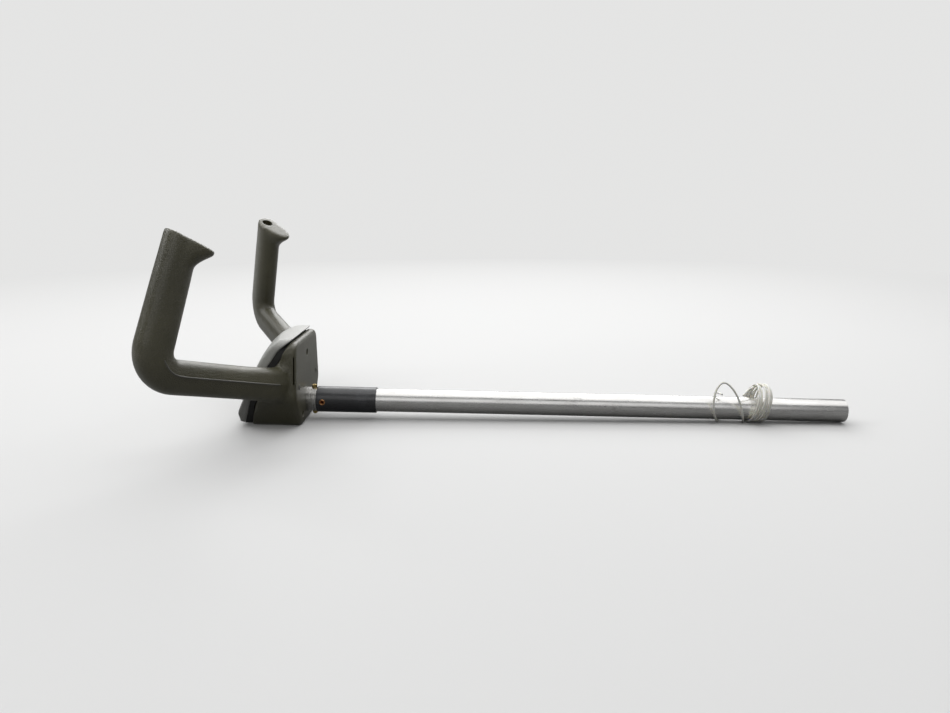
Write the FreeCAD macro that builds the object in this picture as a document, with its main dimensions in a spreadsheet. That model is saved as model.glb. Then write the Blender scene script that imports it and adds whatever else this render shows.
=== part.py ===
import FreeCAD, Part
import math
import os
import re
import Sketcher

# Aircraft control wheel on its control tube, in millimetres.
# X runs along the tube, away from the pilot. Y is to the pilot's left. Z is up.
# The origin is on the tube's axis, at its open forward end. Along X, sizes and places are measured
# from the hub's rear face, which lies tube_end behind the origin.

os.makedirs("parts", exist_ok=True)
Vec = FreeCAD.Vector
doc = FreeCAD.newDocument("control_wheel")
sheet = doc.addObject("Spreadsheet::Sheet", "sizes")

SIZES = [
    ("tube_diameter", 25.4), ("tube_wall", 1.65), ("tube_end", 600.0),
    ("boss_length", 4.0), ("boss_diameter", 29.0), ("boss_root", 32.0),
    ("collar_diameter", 26.2), ("collar_width", 6.7), ("shank_diameter", 19.0),
    ("shank_depth", 26.0), ("spigot_length", 48.0), ("spigot_room", 2.0), ("seat_wall", 1.35),
    ("adapter_bore", 12.0), ("socket_diameter", 27.0), ("fit_gap", 0.05),
    ("sleeve_length", 66.0), ("sleeve_wall", 1.6), ("sleeve_round", 0.7),
    ("rivet_place", 18.0), ("rivet_diameter", 4.8), ("rivet_bore", 2.8),
    ("rivet_head", 6.6), ("rivet_head_height", 0.9), ("rivet_seat", 0.4),
    ("bolt_diameter", 3.2), ("bolt_flats", 5.0), ("bolt_head_height", 3.4),
    ("nut_height", 2.6), ("washer_height", 0.6), ("washer_diameter", 6.2),
    ("bolt_seat", 0.6),
    ("hub_top", 72.0), ("hub_top_half", 50.0), ("hub_wide", 14.0), ("hub_wide_half", 58.0),
    ("hub_bottom", -22.0), ("hub_bottom_half", 34.0), ("hub_corner", 12.0), ("hub_lip", 7.0),
    ("hub_waist_x", -45.0), ("hub_waist_z", 6.0), ("hub_foot", -54.0), ("hub_edge", 4.0),
    ("base_lip", 1.2), ("base_bulge_x", -27.5), ("base_bulge_z", 53.0),
    ("base_belly_x", -49.5), ("base_belly_z", 7.0), ("base_foot", -63.0),
    ("base_inset", 1.6), ("cover_rim", 7.0), ("cover_crown", 7.0), ("cover_inset", 0.5),
    ("cover_rise", 4.5), ("cover_lift", 2.0),
    ("screw_upper", 53.5), ("screw_lower", -9.6), ("screw_aside", 27.0), ("screw_diameter", 4.0),
    ("screw_head", 7.0), ("screw_head_height", 3.0), ("screw_recess", 7.6),
    ("recess_upper", 8.0), ("recess_lower", 26.0), ("screw_bite", 3.0),
    ("lock_washer_height", 0.8),
    ("arm_meet_x", 23.0), ("arm_meet_z", 10.5), ("arm_sweep", 35.6), ("arm_rise", 15.2),
    ("arm_reach", 210.6), ("grip_lean", 20.4), ("elbow_radius", 24.0),
    ("arm_tall", 32.4), ("arm_thick", 25.4), ("arm_even", 128.4), ("arm_straight", 156.9),
    ("root_start", 44.2), ("root_tall", 48.0), ("root_thick", 32.0), ("root_shift", 15.0),
    ("flare_middle", 71.3), ("flare_tall", 37.0), ("flare_thick", 27.5), ("flare_shift", 3.0),
    ("flare_end", 96.3), ("flare_end_tall", 34.3), ("flare_end_thick", 26.9),
    ("grip_wide", 36.8), ("grip_thick", 26.0), ("grip_length", 92.0),
    ("grip_top_wide", 34.0), ("head_turn", 30.0), ("head_slant", 14.0), ("head_height", 33.5),
    ("head_room", 48.0), ("beak_root", 5.0), ("beak_root_long", 31.0), ("beak_root_reach", 0.5),
    ("beak_root_thick", 22.5),
    ("beak_lip", 22.0), ("beak_long", 41.0), ("beak_reach", 6.5), ("beak_thick", 25.0),
    ("switch_bore", 12.0), ("switch_depth", 26.0), ("switch_shift", 4.0), ("core_diameter", 10.0),
    ("core_start", 45.0), ("core_clear", 10.0),
    ("lead_diameter", 2.2), ("lead_coil_start", 492.5), ("lead_coil_length", 19.0),
    ("lead_coil_radius", 22.6), ("lead_coil_lift", 7.5), ("lead_coil_gap", 0.4),
]
for row, (name, value) in enumerate(SIZES, start=1):
    sheet.set(f"A{row}", name)
    sheet.set(f"B{row}", str(value))
    sheet.setAlias(f"B{row}", name)
doc.recompute()
size = {name: float(sheet.get(name)) for name, _ in SIZES}

pieces = []


def bind(item, **expressions):
    """Ties properties of an object to the sheet's cells."""
    for name, text in expressions.items():
        tied = re.sub(r"[a-z_]+", lambda word: f"sizes.{word[0]}" if word[0] in size else word[0], text)
        item.setExpression(name.replace("__", "."), tied)


def keep(item, label):
    """Marks an object as one piece of the wheel."""
    item.Label = label
    pieces.append(item)
    return item


def rod(name, diameter, start, length, direction=Vec(1, 0, 0)):
    """A cylinder along an axis, its diameter, start and length given as expressions."""
    item = doc.addObject("Part::Cylinder", name)
    turn = FreeCAD.Rotation(Vec(0, 0, 1), direction)
    item.Placement = FreeCAD.Placement(Vec(0, 0, 0), turn)
    bind(item, Radius=f"( {diameter} ) / 2", Height=length)
    axis = "x" if direction.x else ("y" if direction.y else "z")
    return shift(item, **{axis: start})


def shift(item, **places):
    """Places an object by expressions for x, from the hub's rear face, y or z."""
    for axis, text in places.items():
        bind(item, **{f"Placement__Base__{axis}": f"{text} - tube_end" if axis == "x" else text})
    return item


def cone(name, first, last, start, length):
    item = doc.addObject("Part::Cone", name)
    item.Placement = FreeCAD.Placement(Vec(0, 0, 0), FreeCAD.Rotation(Vec(0, 0, 1), Vec(1, 0, 0)))
    bind(item, Radius1=f"( {first} ) / 2", Radius2=f"( {last} ) / 2", Height=length)
    return shift(item, x=start)


def fuse(name, *items):
    out = doc.addObject("Part::MultiFuse", name)
    out.Shapes = list(items)
    return out


def cut(name, base, *tools):
    out = doc.addObject("Part::Cut", name)
    out.Base = base
    out.Tool = tools[0] if len(tools) == 1 else fuse(f"{name}_tools", *tools)
    return out


def common(name, *items):
    out = doc.addObject("Part::MultiCommon", name)
    out.Shapes = list(items)
    return out


def rounded(points, radius):
    """Lines through the points of a closed outline, with tangent arcs at its corners."""
    count = len(points)
    starts = []
    ends = []
    middles = []
    for i in range(count):
        here = points[i]
        back = (points[i - 1] - here).normalize()
        ahead = (points[(i + 1) % count] - here).normalize()
        half = back.getAngle(ahead) / 2
        reach = radius / math.tan(half)
        centre = here + (back + ahead).normalize() * (radius / math.sin(half))
        starts.append(here + back * reach)
        ends.append(here + ahead * reach)
        middles.append(centre + (here - centre).normalize() * radius)
    edges = []
    for i in range(count):
        edges.append(Part.Arc(starts[i], middles[i], ends[i]))
        edges.append(Part.LineSegment(ends[i], starts[(i + 1) % count]))
    return edges


def body_with_sketch(name, role, geometry):
    """A body with one sketch on its own origin plane."""
    body = doc.addObject("PartDesign::Body", name)
    sketch = body.newObject("Sketcher::SketchObject", f"{name}_outline")
    plane = [f for f in body.Origin.OriginFeatures if f.Role == role][0]
    sketch.AttachmentSupport = [(plane, "")]
    sketch.MapMode = "FlatFace"
    for edge in geometry:
        sketch.addGeometry(edge, False)
    body.Placement.Base = Vec(-size["tube_end"], 0, 0)
    doc.recompute()
    return body, sketch


def prism(name, role, geometry, length):
    """An outline padded to both sides of its plane, its length an expression."""
    body, sketch = body_with_sketch(name, role, geometry)
    pad = body.newObject("PartDesign::Pad", f"{name}_pad")
    pad.Profile = sketch
    pad.Midplane = True
    bind(pad, Length=length)
    sketch.Visibility = False
    return body


def closed_lines(points):
    return [Part.LineSegment(points[i - 1], points[i]) for i in range(len(points))]


# Hub outlines: a shield seen from the rear, and a wedge seen from the side
def shield(inset, rise=0.0, lift=0.0):
    """The hub's outline in its own Y and Z, drawn in by inset, with its top and bottom moved up."""
    top = size["hub_top"] + rise - inset
    bottom = size["hub_bottom"] + lift + inset
    corners = [
        (size["hub_top_half"] - inset, top), (size["hub_wide_half"] - inset, size["hub_wide"]),
        (size["hub_bottom_half"] - inset, bottom), (-size["hub_bottom_half"] + inset, bottom),
        (-size["hub_wide_half"] + inset, size["hub_wide"]), (-size["hub_top_half"] + inset, top),
    ]
    return rounded([Vec(y, z, 0) for y, z in corners], size["hub_corner"] - inset)


HUB_DEPTH = "4 * hub_wide_half"
hub_face = [
    (-size["hub_lip"], size["hub_top"] + 1), (size["hub_waist_x"], size["hub_waist_z"]),
    (size["hub_foot"], size["hub_bottom"] - 1),
]
hub_rear = [(0, size["hub_bottom"] - 1), (0, size["hub_top"] + 1)]
hub_shield = prism("hub_shield", "YZ_Plane", shield(0), HUB_DEPTH)
hub_side = prism("hub_side", "XZ_Plane",
                 closed_lines([Vec(x, z, 0) for x, z in hub_face + hub_rear]), HUB_DEPTH)
hub_block = common("hub_block", hub_shield, hub_side)
doc.recompute()


def edges_at(item, test):
    """Names of the edges whose both ends pass the test."""
    found = []
    for i, edge in enumerate(item.Shape.Edges, start=1):
        if all(test(v.Point) for v in edge.Vertexes):
            found.append(i)
    return found


def at_rear(point):
    return abs(point.x + size["tube_end"]) < 0.01


hub_round = doc.addObject("Part::Fillet", "hub_round")
hub_round.Base = hub_block
hub_round.Edges = [(i, size["hub_edge"], size["hub_edge"]) for i in edges_at(hub_block, at_rear)]
hub_boss = cone("hub_boss", "boss_root", "boss_diameter", "- 1", "1 + boss_length")

# Arms and grips: sections of an oval along a line that rises, turns at the elbow and leans in
sweep_angle = math.radians(size["arm_sweep"])
horn_place = FreeCAD.Placement(
    Vec(size["arm_meet_x"] - size["tube_end"], 0, size["arm_meet_z"]),
    FreeCAD.Rotation(Vec(0, 0, 1), -90 - size["arm_sweep"]))
rise = math.radians(size["arm_rise"])
lean = math.radians(90 + size["grip_lean"])
elbow_turn = lean - rise
elbow_reach = size["elbow_radius"] * math.tan(elbow_turn / 2)
elbow_point = Vec(size["arm_reach"], 0, size["arm_reach"] * math.tan(rise))
arm_way = Vec(math.cos(rise), 0, math.sin(rise))
grip_way = Vec(math.cos(lean), 0, math.sin(lean))
elbow_start = elbow_point - arm_way * elbow_reach
elbow_end = elbow_point + grip_way * elbow_reach
elbow_centre = elbow_start + Vec(-math.sin(rise), 0, math.cos(rise)) * size["elbow_radius"]


def oval(name, centre, angle, tall, thick, turn=0.0):
    """An ellipse square to a way that rises by angle in the plane of one horn."""
    item = doc.addObject("Part::Ellipse", name)
    way = Vec(math.cos(angle), 0, math.sin(angle))
    across = Vec(-math.sin(angle), 0, math.cos(angle))
    side = way.cross(across)
    frame = FreeCAD.Matrix(
        across.x, side.x, way.x, centre.x, across.y, side.y, way.y, centre.y,
        across.z, side.z, way.z, centre.z, 0, 0, 0, 1)
    spin = FreeCAD.Placement(Vec(0, 0, 0), FreeCAD.Rotation(Vec(0, 0, 1), turn))
    item.Placement = horn_place * FreeCAD.Placement(frame) * spin
    bind(item, MajorRadius=f"( {tall} ) / 2", MinorRadius=f"( {thick} ) / 2")
    return item


def along_arm(distance):
    return arm_way * (distance / math.cos(rise))


def loft(name, sections, ruled=False):
    item = doc.addObject("Part::Loft", name)
    item.Sections = sections
    item.Solid = True
    item.Ruled = ruled
    return item


# Distance from the tube's axis, sideways shift, height and thickness of each section
ARM = [
    ("root_start", size["root_shift"], "root_tall", "root_thick"),
    ("flare_middle", size["flare_shift"], "flare_tall", "flare_thick"),
    ("flare_end", 0, "flare_end_tall", "flare_end_thick"),
    ("arm_even", 0, "arm_tall", "arm_thick"),
    ("arm_straight", 0, "arm_tall", "arm_thick"),
]
arm_sections = [oval(f"arm_{i}", along_arm(size[reach]) - Vec(0, aside, 0), rise, tall, thick)
                for i, (reach, aside, tall, thick) in enumerate(ARM)]
ELBOW_STEPS = 4
elbow_sections = []
for i in range(ELBOW_STEPS + 1):
    part_way = i / ELBOW_STEPS
    angle = rise + elbow_turn * part_way
    spoke = Vec(math.sin(angle), 0, -math.cos(angle)) * size["elbow_radius"]
    tall = f"arm_tall + ( grip_wide - arm_tall ) * {part_way}"
    thick = f"arm_thick + ( grip_thick - arm_thick ) * {part_way}"
    elbow_sections.append(oval(f"elbow_{i}", elbow_centre + spoke, angle, tall, thick))
grip_line = elbow_point + grip_way * (size["grip_length"] + size["head_room"])
grip_top = oval("grip_top", grip_line, lean, "grip_top_wide", "grip_thick")
arm_root = loft("arm_root", arm_sections)
arm_straight = loft("arm_straight", [arm_sections[-1], elbow_sections[0]])
elbow = loft("elbow", elbow_sections)
grip = loft("grip", [elbow_sections[-1], grip_top])

# Head of each grip: a beak towards the panel, and one slanting top over beak and grip
turned = math.radians(size["head_turn"])
slant = math.radians(size["head_slant"])
tip_way = Vec(-math.sin(lean), 0, math.cos(lean)) * math.cos(turned) + Vec(0, math.sin(turned), 0)


def head_point(height, reach):
    """A point above the grip's end, and towards the beak's tip from its middle line."""
    return elbow_point + grip_way * (size["grip_length"] + height) + tip_way * reach


BEAK = [
    (size["beak_root"], size["beak_root_reach"], "beak_root_long", "beak_root_thick"),
    (size["beak_lip"], size["beak_reach"], "beak_long", "beak_thick"),
    (size["head_room"], size["beak_reach"], "beak_long", "beak_thick"),
]
beak_sections = [oval(f"beak_{i}", head_point(height, reach), lean, long, thick, -size["head_turn"])
                 for i, (height, reach, long, thick) in enumerate(BEAK)]
beak = loft("beak", beak_sections, True)
head_trim = doc.addObject("Part::Box", "head_trim")
bind(head_trim, Length="2 * head_room", Width="2 * head_room", Height="head_room")
trim_turn = FreeCAD.Rotation(Vec(0, 0, 1), grip_way * math.cos(slant) + tip_way * math.sin(slant))
trim_corner = Vec(-size["head_room"], -size["head_room"], 0)
head_trim.Placement = (horn_place * FreeCAD.Placement(head_point(size["head_height"], 0), trim_turn)
                       * FreeCAD.Placement(trim_corner, FreeCAD.Rotation()))
grip_cut = cut("grip_cut", grip, head_trim)
beak_cut = cut("beak_cut", beak, head_trim)
right_horn = fuse("right_horn", arm_root, arm_straight, elbow, grip_cut, beak_cut)

left_horn = doc.addObject("Part::Mirroring", "left_horn")
left_horn.Source = right_horn
left_horn.Normal = Vec(0, 1, 0)


# Steel core that stiffens each arm and grip, buried in the moulding
def core_line():
    start = along_arm(size["core_start"])
    middle_angle = rise + elbow_turn / 2
    middle = elbow_centre + Vec(math.sin(middle_angle), 0, -math.cos(middle_angle)) * size["elbow_radius"]
    end = elbow_point + grip_way * (size["grip_length"] - size["switch_depth"] - size["core_clear"])
    line = Part.Wire([
        Part.LineSegment(start, elbow_start).toShape(),
        Part.Arc(elbow_start, middle, elbow_end).toShape(),
        Part.LineSegment(elbow_end, end).toShape(),
    ])
    line.Placement = horn_place
    return line


core_path = doc.addObject("Part::Feature", "core_path")
core_path.Shape = core_line()
core_section = doc.addObject("Part::Circle", "core_section")
start_turn = FreeCAD.Rotation(Vec(0, 0, 1), arm_way)
core_section.Placement = horn_place * FreeCAD.Placement(along_arm(size["core_start"]), start_turn)
bind(core_section, Radius="core_diameter / 2")
core_right = doc.addObject("Part::Sweep", "core_right")
core_right.Sections = [core_section]
core_right.Spine = (core_path, ["Edge1", "Edge2", "Edge3"])
core_right.Solid = True
core_right.Frenet = False
keep(core_right, "horn_core_right")
core_left = doc.addObject("Part::Mirroring", "core_left")
core_left.Source = core_right
core_left.Normal = Vec(0, 1, 0)
keep(core_left, "horn_core_left")

# Bore for the microphone switch in the left head
bore_top = horn_place.multVec(head_point(size["head_height"] + size["switch_bore"], -size["switch_shift"]))
bore_low = horn_place.multVec(head_point(size["head_height"] - size["switch_depth"], -size["switch_shift"]))
bore_top = Vec(bore_top.x, -bore_top.y, bore_top.z)
bore_low = Vec(bore_low.x, -bore_low.y, bore_low.z)
switch_bore = doc.addObject("Part::Cylinder", "switch_bore_tool")
switch_bore.Placement = FreeCAD.Placement(bore_low, FreeCAD.Rotation(Vec(0, 0, 1), bore_top - bore_low))
bind(switch_bore, Radius="switch_bore / 2")
switch_bore.Height = (bore_top - bore_low).Length

# Socket, adapter and tube on one axis
socket_room = rod("socket_room", "socket_diameter", "- shank_depth", "shank_depth + boss_length + 5")
socket_outer = rod("socket_outer", "socket_diameter", "- shank_depth", "shank_depth + boss_length")
socket_hole = rod("socket_hole", "shank_diameter + 2 * fit_gap", "- shank_depth - 1",
                  "shank_depth + boss_length + 2")
keep(cut("socket", socket_outer, socket_hole), "hub_socket")

COLLAR_END = "boss_length + collar_width"
TUBE_BORE = "( tube_diameter - 2 * tube_wall )"
TUBE_SEAT = "( tube_diameter - 2 * seat_wall )"
shank = rod("shank", "shank_diameter", "- shank_depth", "shank_depth + boss_length")
collar = rod("collar", "collar_diameter", "boss_length", "collar_width")
spigot = rod("spigot", f"{TUBE_SEAT} - 2 * fit_gap", COLLAR_END, "spigot_length")
adapter_hole = rod("adapter_hole", "adapter_bore", "- shank_depth - 1",
                   "shank_depth + boss_length + collar_width + spigot_length + 2")
UP = Vec(0, 0, 1)
ACROSS = Vec(0, 1, 0)
BOLT_X = "boss_length + collar_width / 2"
bolt_hole = shift(rod("bolt_hole", "bolt_diameter + 2 * fit_gap", "- collar_diameter",
                      "2 * collar_diameter", UP),
                  x=BOLT_X)
SEAT_Z = "( collar_diameter / 2 - bolt_seat )"
seat_up = shift(rod("seat_up", "washer_diameter + 2 * fit_gap", SEAT_Z, "5", UP), x=BOLT_X)
seat_down = shift(rod("seat_down", "washer_diameter + 2 * fit_gap", f"- {SEAT_Z} - 5", "5", UP), x=BOLT_X)
rivet_hole = shift(rod("rivet_hole", "rivet_diameter + 2 * fit_gap", "- tube_diameter",
                       "2 * tube_diameter", ACROSS),
                   x="rivet_place")
adapter = cut("adapter", fuse("adapter_blank", shank, collar, spigot), adapter_hole, bolt_hole,
              seat_up, seat_down, rivet_hole)
keep(adapter, "tube_adapter")

tube_outer = rod("tube_outer", "tube_diameter", f"{COLLAR_END} + fit_gap",
                 f"tube_end - ( {COLLAR_END} + fit_gap )")
tube_inner = rod("tube_inner", TUBE_BORE, COLLAR_END, "tube_end")
tube_seat = rod("tube_seat", TUBE_SEAT, COLLAR_END, "spigot_length + spigot_room")
keep(cut("tube", tube_outer, tube_inner, tube_seat, rivet_hole), "control_tube")

sleeve_blank = rod("sleeve_blank", "tube_diameter + 2 * sleeve_wall", f"{COLLAR_END} + fit_gap",
                   "sleeve_length")
doc.recompute()
sleeve_round = doc.addObject("Part::Fillet", "sleeve_rounded")
sleeve_round.Base = sleeve_blank
sleeve_round.Edges = [(i, size["sleeve_round"], size["sleeve_round"])
                      for i, e in enumerate(sleeve_blank.Shape.Edges, start=1) if e.Closed]
sleeve_hole = rod("sleeve_hole", "tube_diameter", "0", "sleeve_length * 2")
HEAD_SEAT = "( tube_diameter / 2 + sleeve_wall - rivet_seat )"
head_rooms = [
    shift(rod("head_room_left", "rivet_head + 2 * fit_gap", HEAD_SEAT, "5", ACROSS), x="rivet_place"),
    shift(rod("head_room_right", "rivet_head + 2 * fit_gap", f"- {HEAD_SEAT} - 5", "5", ACROSS),
          x="rivet_place"),
]
keep(cut("sleeve", sleeve_round, sleeve_hole, rivet_hole, *head_rooms), "tube_sleeve")

rivet_shank = shift(rod("rivet_shank", "rivet_diameter", f"- {HEAD_SEAT}", f"2 * {HEAD_SEAT}", ACROSS),
                    x="rivet_place")
rivet_left = shift(rod("rivet_left", "rivet_head", HEAD_SEAT, "rivet_head_height", ACROSS), x="rivet_place")
rivet_right = shift(rod("rivet_right", "rivet_head", f"- {HEAD_SEAT} - rivet_head_height",
                        "rivet_head_height",
                        ACROSS), x="rivet_place")
rivet_open = shift(rod("rivet_open", "rivet_bore", "- tube_diameter", "2 * tube_diameter", ACROSS),
                   x="rivet_place")
keep(cut("rivet", fuse("rivet_blank", rivet_shank, rivet_left, rivet_right), rivet_open), "tube_rivet")


# Bolt, washers and nut across the collar
def hexagon(name, start, height):
    item = doc.addObject("Part::Prism", name)
    item.Polygon = 6
    bind(item, Circumradius="bolt_flats / sqrt(3)", Height=height)
    return shift(item, x=BOLT_X, z=start)


def washer(name, start):
    outer = shift(rod(f"{name}_outer", "washer_diameter", start, "washer_height", UP), x=BOLT_X)
    return keep(cut(name, outer, bolt_hole), name)


washer("collar_washer_upper", SEAT_Z)
washer("collar_washer_lower", f"- {SEAT_Z} - washer_height")
bolt_head = hexagon("bolt_head", f"{SEAT_Z} + washer_height", "bolt_head_height")
bolt_shank = shift(rod("bolt_shank", "bolt_diameter", f"- {SEAT_Z} - washer_height - nut_height - 1",
                       f"2 * ( {SEAT_Z} + washer_height ) + nut_height + 1", UP), x=BOLT_X)
keep(fuse("bolt", bolt_head, bolt_shank), "collar_bolt")
nut_blank = hexagon("nut_blank", f"- {SEAT_Z} - washer_height - nut_height", "nut_height")
nut_thread = shift(rod("nut_thread", "bolt_diameter", f"- {SEAT_Z} - washer_height - nut_height - 2",
                       "nut_height * 3",
                       UP), x=BOLT_X)
keep(cut("nut", nut_blank, nut_thread), "collar_nut")

# Pad on the hub's face: a dark base and a crowned light cover
rim_points = [
    Vec(-size["hub_lip"] - size["base_lip"], size["hub_top"] + size["cover_rise"] + 1, 0),
    Vec(size["base_bulge_x"], size["base_bulge_z"], 0),
    Vec(size["base_belly_x"], size["base_belly_z"], 0),
    Vec(size["base_foot"], size["hub_bottom"] - 1, 0),
]


def curve_through(points):
    curve = Part.BSplineCurve()
    curve.interpolate(points)
    return curve


def side_band(first, second):
    """A closed outline between two fronts, each from the top down."""
    return [*first, Part.LineSegment(first[-1].EndPoint, second[-1].EndPoint), *second[::-1],
            Part.LineSegment(second[0].StartPoint, first[0].StartPoint)]


face_points = [Vec(x, z, 0) for x, z in hub_face]
face_lines = [Part.LineSegment(face_points[0], face_points[1]),
              Part.LineSegment(face_points[1], face_points[2])]
rim_curve = curve_through(rim_points)
roof = Vec(face_points[0].x, rim_points[0].y, 0)
base_back = [Part.LineSegment(roof, face_points[0]), *face_lines]
base_side = prism("base_side", "XZ_Plane", side_band([rim_curve], base_back), HUB_DEPTH)
base_shield = prism("base_shield", "YZ_Plane", shield(size["base_inset"]), HUB_DEPTH)
base_block = common("base_block", base_side, base_shield)

# The cover's front is the rim's curve moved forward, turned about an axis far behind the hub
chord = (rim_points[-1] - rim_points[0]).normalize()
outward = Vec(chord.y, -chord.x, 0)
crown_depth = size["cover_rim"] + size["cover_crown"]
crown_radius = size["hub_wide_half"] ** 2 / (2 * size["cover_crown"]) + size["cover_crown"] / 2
axis_point = rim_points[0] + outward * (crown_depth - crown_radius)


def to_axis(point):
    """A point of the side view in the frame of the crown's axis: distance from it, and along it."""
    offset = point - axis_point
    return Vec(offset.dot(outward), -offset.dot(chord), 0)


front_points = [to_axis(p + outward * crown_depth) for p in rim_points]
front_curve = curve_through(front_points)
inner = crown_radius - 4 * crown_depth
crown_profile = [
    front_curve,
    Part.LineSegment(front_points[-1], Vec(inner, front_points[-1].y, 0)),
    Part.LineSegment(Vec(inner, front_points[-1].y, 0), Vec(inner, front_points[0].y, 0)),
    Part.LineSegment(Vec(inner, front_points[0].y, 0), front_points[0]),
]
crown, crown_sketch = body_with_sketch("crown", "XZ_Plane", crown_profile)
revolution = crown.newObject("PartDesign::Revolution", "crown_turn")
revolution.Profile = crown_sketch
revolution.ReferenceAxis = (crown_sketch, ["V_Axis"])
revolution.Angle = 60
revolution.Midplane = True
crown_turn = FreeCAD.Rotation(Vec(outward.x, 0, outward.y), Vec(0, -1, 0), Vec(-chord.x, 0, -chord.y), "XZY")
crown.Placement = FreeCAD.Placement(Vec(axis_point.x - size["tube_end"], 0, axis_point.y), crown_turn)
behind = [Vec(40, rim_points[0].y, 0), Vec(40, rim_points[-1].y, 0)]
behind_rim = prism("behind_rim", "XZ_Plane", [
    rim_curve, Part.LineSegment(rim_points[-1], behind[1]), Part.LineSegment(behind[1], behind[0]),
    Part.LineSegment(behind[0], rim_points[0])], HUB_DEPTH)
cover_shield = prism("cover_shield", "YZ_Plane",
                     shield(size["cover_inset"], size["cover_rise"], size["cover_lift"]), HUB_DEPTH)
cover_block = cut("cover_block", common("cover_blank", crown, cover_shield), behind_rim)
doc.recompute()


# Screws from the rear, through the hub, into the pad's base
def face_depth(z):
    """X of the hub's face at a height."""
    upper, waist, foot = face_points
    first, last = (upper, waist) if z > waist.y else (waist, foot)
    return first.x + (last.x - first.x) * (z - first.y) / (last.y - first.y)


SCREWS = [
    ("upper", 0.0, "screw_upper", "recess_upper"),
    ("lower", -size["screw_aside"], "screw_lower", "recess_lower"),
    ("left", size["screw_aside"], "screw_lower", "recess_lower"),
]
screws = []
recesses = []
for name, aside, height, depth in SCREWS:
    tip = face_depth(size[height]) - size["screw_bite"]
    over = size["screw_bite"] * 2
    places = {"y": str(aside), "z": height}
    recess = rod(f"recess_{name}", "screw_recess", f"- {depth}", f"{depth} + 10")
    recesses.append(shift(recess, **places))
    clear = rod(f"screw_way_{name}", "screw_diameter + 2 * fit_gap", str(tip - over),
                f"lock_washer_height - {depth} - ( {tip - over} )")
    recesses.append(shift(clear, **places))
    thread = rod(f"thread_{name}", "screw_diameter", str(tip), f"- {depth} - ( {tip} )")
    screws.append(shift(thread, **places))
    ring = shift(rod(f"{name}_ring", "screw_head", f"- {depth}", "lock_washer_height"), **places)
    keep(cut(f"{name}_washer", ring, clear), f"pad_washer_{name}")
    head = rod(f"{name}_head", "screw_head", f"lock_washer_height - {depth}", "screw_head_height")
    shaft = rod(f"{name}_shaft", "screw_diameter", str(tip), f"lock_washer_height - {depth} - ( {tip} )")
    keep(fuse(f"{name}_screw", shift(head, **places), shift(shaft, **places)), f"pad_screw_{name}")
keep(cut("base", base_block, *screws), "hub_pad_base")
keep(cover_block, "hub_pad_cover")

far_front = -2 * size["hub_top"]
front_side = prism("front_side", "XZ_Plane", closed_lines([
    *face_points, Vec(far_front, face_points[-1].y, 0), Vec(far_front, face_points[0].y, 0)]), HUB_DEPTH)
front_shield = prism("front_shield", "YZ_Plane", shield(0), HUB_DEPTH)
wheel = fuse("wheel_blank", hub_round, hub_boss, right_horn, left_horn)
moulding = cut("moulding", wheel, core_right, core_left, switch_bore, socket_room, *recesses,
               common("front_room", front_side, front_shield))
keep(moulding, "wheel_moulding")


# Thin lead wound on the tube near its far end, and its two loose ends
coil_outer = shift(rod("coil_outer", "2 * lead_coil_radius", "lead_coil_start", "lead_coil_length"),
                   z="lead_coil_lift")
coil_inner = rod("coil_inner", "tube_diameter + 2 * lead_coil_gap", "lead_coil_start - 1",
                 "lead_coil_length + 2")
keep(cut("coil", coil_outer, coil_inner), "lead_coil")

LOOP = [
    (491.2, 6.0, -14.1), (486.5, -8.0, -14.1), (482.0, -17.5, -6.0), (478.5, -17.5, 8.0),
    (471.5, -14.5, 23.5), (460.5, -9.5, 34.0), (451.5, -12.5, 26.5), (447.5, -17.0, 12.5),
    (450.0, -17.0, -4.0), (457.0, -8.0, -14.1), (463.0, 7.0, -14.1), (463.0, 16.5, -4.0),
    (460.0, 16.0, 9.0), (456.0, 5.0, 18.0), (460.0, -7.5, 17.6),
]
TAIL = [(491.2, -4.0, 24.5), (486.5, -9.5, 22.5), (481.0, -14.0, 18.5)]


def smooth_path(points):
    """Straight runs joined by tangent arcs as large as their runs allow."""
    edges = []
    start = points[0]
    radii = []
    for back, here, ahead in zip(points, points[1:], points[2:]):
        first = (here - back).normalize()
        second = (ahead - here).normalize()
        turn = first.getAngle(second)
        reach = 0.45 * min((here - back).Length, (ahead - here).Length)
        radius = reach / math.tan(turn / 2)
        radii.append(round(radius, 1))
        towards = (second - first).normalize()
        centre = here + towards * math.hypot(reach, radius)
        middle = centre - towards * radius
        edges.append(Part.LineSegment(start, here - first * reach).toShape())
        edges.append(Part.Arc(here - first * reach, middle, here + second * reach).toShape())
        start = here + second * reach
    edges.append(Part.LineSegment(start, points[-1]).toShape())
    print("arc radii", radii)
    return Part.Wire(edges)


def lead(label, route):
    """A stretch of the lead along its route, measured from the hub's rear face."""
    points = [Vec(x - size["tube_end"], y, z) for x, y, z in route]
    path = doc.addObject("Part::Feature", f"{label}_path")
    path.Shape = smooth_path(points)
    section = doc.addObject("Part::Circle", f"{label}_section")
    way = (points[1] - points[0]).normalize()
    section.Placement = FreeCAD.Placement(points[0], FreeCAD.Rotation(Vec(0, 0, 1), way))
    bind(section, Radius="lead_diameter / 2")
    tube = doc.addObject("Part::Sweep", f"{label}_tube")
    tube.Sections = [section]
    tube.Spine = (path, [f"Edge{i + 1}" for i in range(len(path.Shape.Edges))])
    tube.Solid = True
    tube.Frenet = False
    return keep(tube, label)


lead("lead_loop", LOOP)
lead("lead_tail", TAIL)

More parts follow.
